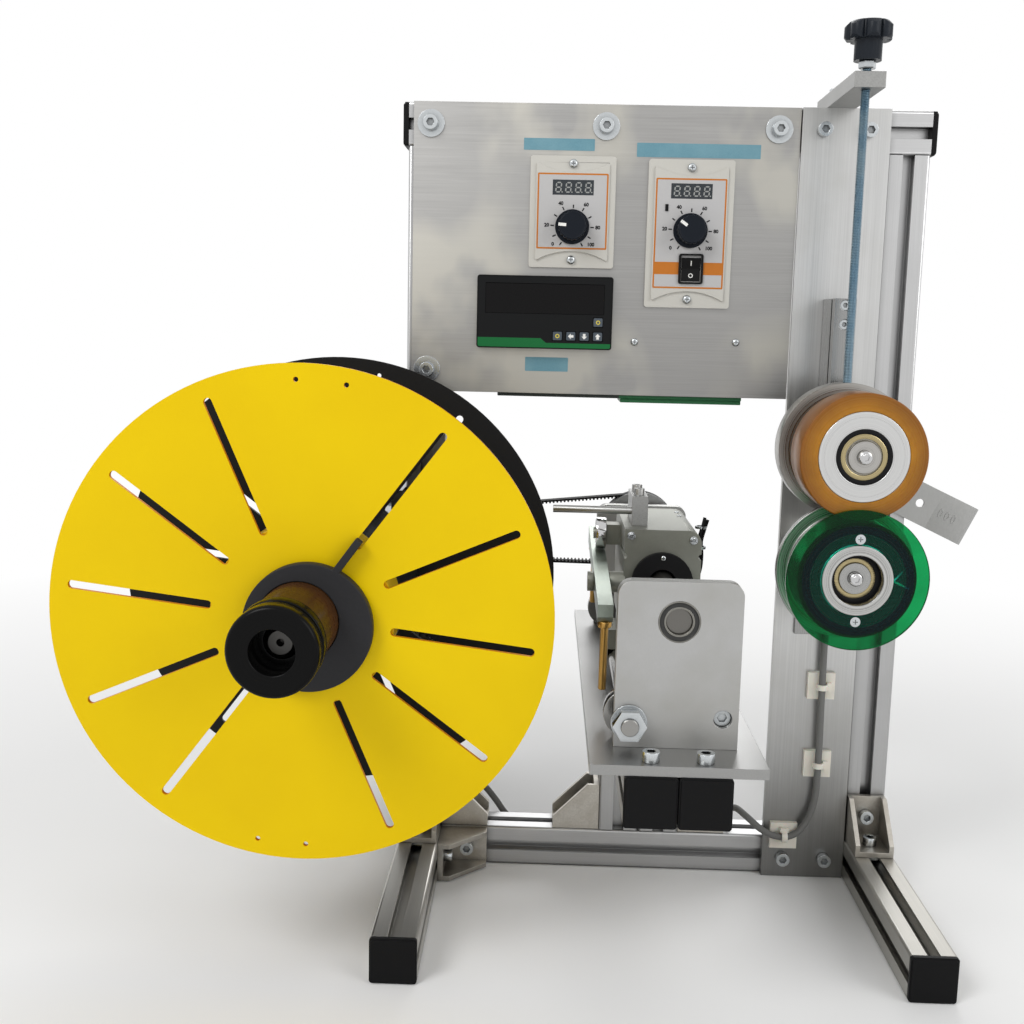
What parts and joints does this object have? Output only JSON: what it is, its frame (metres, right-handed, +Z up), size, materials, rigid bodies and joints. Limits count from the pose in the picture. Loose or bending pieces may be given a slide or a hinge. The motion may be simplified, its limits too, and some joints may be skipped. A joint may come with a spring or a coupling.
{
  "type": "filament rewinder",
  "caption": "Bench machine that winds filament on a slotted reel: profile frame, belt-driven traverse carriage, control panel and a nip of metering rollers.",
  "frame": {"origin": "centre of the part's bounding box in plan, at floor level", "axes": "+Z up, +X to the right as seen by the operator, +Y away from the operator; reel, traverse shaft and rollers turn about axes along Y"},
  "size_m": [0.6074, 0.506, 0.605],
  "materials": {
    "anodised": "satin anodised",
    "cap_black": "matte",
    "cast": "cast, tumbled",
    "zinc": "zinc plated",
    "plate": "milled",
    "bearing": "ground, shielded",
    "rod": "ground",
    "belt": "matte",
    "panel": "brushed",
    "meter": "gloss",
    "ivory": "satin",
    "driver": "satin",
    "guide": "brushed",
    "rail": "ground",
    "cable": "matte",
    "nylon": "satin",
    "housing": "milled",
    "motor": "satin",
    "mandrel": "gloss",
    "black": "satin",
    "yellow": "gloss",
    "collar": "satin",
    "pulley": "machined",
    "carriage": "satin",
    "lever": "zinc plated",
    "brass": "turned",
    "screw": "zinc plated",
    "amber": "translucent polyurethane",
    "wheel": "turned",
    "green": "translucent acrylic",
    "key": "satin"
  },
  "bodies": {
    "frame": {"feet_rails": "anodised", "uprights": "anodised", "cross_bars": "anodised", "bed_beams": "anodised", "end_caps": "cap_black", "corner_brackets": "cast", "fasteners": "zinc", "base_plate": "plate", "bearing_plates": "plate", "shaft_bearings": "bearing", "stop_rod": "rod", "drive_belt": "belt", "control_panel": "panel", "meter_body": "meter", "speed_controller": "ivory", "torque_controller": "ivory", "driver_module": "driver", "guide_plate": "guide", "slide_rail": "rail", "screw_bracket": "guide", "metering_axle": "rail", "meter_sensor": "rail", "sensor_cable": "cable", "cable_mounts": "nylon", "guide_strip": "guide", "drive_housing": "housing", "gear_motor": "motor"},
    "reel": {"reel_shaft": "rod", "mandrel": "mandrel", "mandrel_cap": "black", "rear_flange": "black", "reel_core": "yellow", "reel_pulley": "pulley"},
    "front_flange": {"front_flange": "yellow"},
    "lock_collar": {"lock_collar": "collar"},
    "traverse": {"traverse_shaft": "rod", "traverse_pulley": "pulley"},
    "carriage": {"carriage_housing": "carriage", "rolling_rings": "bearing", "guide_arm": "zinc"},
    "follower": {"follower_bearing": "bearing"},
    "lever": {"reversing_lever": "lever", "lever_strikers": "brass"},
    "slider": {"slide_block": "rail", "roller_carrier": "housing", "roller_bearings": "bearing"},
    "screw": {"pressure_screw": "screw", "star_knob": "black"},
    "roller": {"roller_tyre": "amber", "roller_core": "pulley"},
    "meter_wheel": {"metering_wheel": "wheel", "metering_disc": "green"},
    "speed_knob": {"speed_knob": "black"},
    "torque_knob": {"torque_knob": "black"},
    "rocker": {"rocker": "black"},
    "key_set": {"key_set": "key"},
    "key_left": {"key_left": "key"},
    "key_down": {"key_down": "key"},
    "key_up": {"key_up": "key"},
    "key_reset": {"key_reset": "key"}
  },
  "joints": [
    {"name": "reel_spin", "type": "hinge", "parent": "frame", "child": "reel", "pos_m": [-0.15375, -0.098, 0.235], "axis": [0, 1, 0], "continuous": true},
    {"name": "flange_slide", "type": "slide", "parent": "reel", "child": "front_flange", "axis": [0, -1, 0], "range_m": [0, 0.035]},
    {"name": "collar_turn", "type": "hinge", "parent": "front_flange", "child": "lock_collar", "pos_m": [-0.15375, -0.1793, 0.235], "axis": [0, 1, 0], "range_deg": [0, 90]},
    {"name": "traverse_spin", "type": "hinge", "parent": "frame", "child": "traverse", "pos_m": [0.06625, -0.038, 0.2453], "axis": [0, 1, 0], "continuous": true},
    {"name": "carriage_slide", "type": "slide", "parent": "frame", "child": "carriage", "axis": [0, 1, 0], "range_m": [-0.03, 0.062]},
    {"name": "follower_spin", "type": "hinge", "parent": "carriage", "child": "follower", "pos_m": [0.02825, -0.031, 0.26698], "axis": [1, 0, 0], "continuous": true},
    {"name": "lever_tilt", "type": "hinge", "parent": "carriage", "child": "lever", "pos_m": [0.027, -0.086, 0.2438], "axis": [1, 0, 0], "range_deg": [-12, 0]},
    {"name": "roller_lift", "type": "slide", "parent": "frame", "child": "slider", "axis": [0, 0, 1], "range_m": [0, 0.01]},
    {"name": "screw_turn", "type": "hinge", "parent": "slider", "child": "screw", "pos_m": [0.18675, -0.0555, 0.5], "axis": [0, 0, 1], "range_deg": [0, 3600]},
    {"name": "wheel_spin", "type": "hinge", "parent": "frame", "child": "meter_wheel", "pos_m": [0.18675, -0.096, 0.2547], "axis": [0, 1, 0], "continuous": true},
    {"name": "roller_spin", "type": "hinge", "parent": "slider", "child": "roller", "pos_m": [0.18675, -0.097, 0.3325], "axis": [0, 1, 0], "continuous": true},
    {"name": "speed_knob_turn", "type": "hinge", "parent": "frame", "child": "speed_knob", "pos_m": [0.00275, -0.002, 0.4783], "axis": [0, 1, 0], "range_deg": [-60, 240]},
    {"name": "torque_knob_turn", "type": "hinge", "parent": "frame", "child": "torque_knob", "pos_m": [0.08555, -0.002, 0.4773], "axis": [0, 1, 0], "range_deg": [-100, 200]},
    {"name": "rocker_tilt", "type": "hinge", "parent": "frame", "child": "rocker", "pos_m": [0.08705, 0.006, 0.451], "axis": [1, 0, 0], "range_deg": [-18, 0]},
    {"name": "key_set_press", "type": "slide", "parent": "frame", "child": "key_set", "axis": [0, 1, 0], "range_m": [0, 0.0005], "stiffness_N_per_m": 400},
    {"name": "key_left_press", "type": "slide", "parent": "frame", "child": "key_left", "axis": [0, 1, 0], "range_m": [0, 0.0005], "stiffness_N_per_m": 400},
    {"name": "key_down_press", "type": "slide", "parent": "frame", "child": "key_down", "axis": [0, 1, 0], "range_m": [0, 0.0005], "stiffness_N_per_m": 400},
    {"name": "key_up_press", "type": "slide", "parent": "frame", "child": "key_up", "axis": [0, 1, 0], "range_m": [0, 0.0005], "stiffness_N_per_m": 400},
    {"name": "key_reset_press", "type": "slide", "parent": "frame", "child": "key_reset", "axis": [0, 1, 0], "range_m": [0, 0.0005], "stiffness_N_per_m": 400}
  ],
  "couplings": [
    {"joint": "traverse_spin", "follows": "reel_spin", "ratio": 0.56667},
    {"joint": "screw_turn", "follows": "roller_lift", "rad_per_m": 6283.2},
    {"joint": "roller_spin", "follows": "wheel_spin", "ratio": -0.9375}
  ]
}
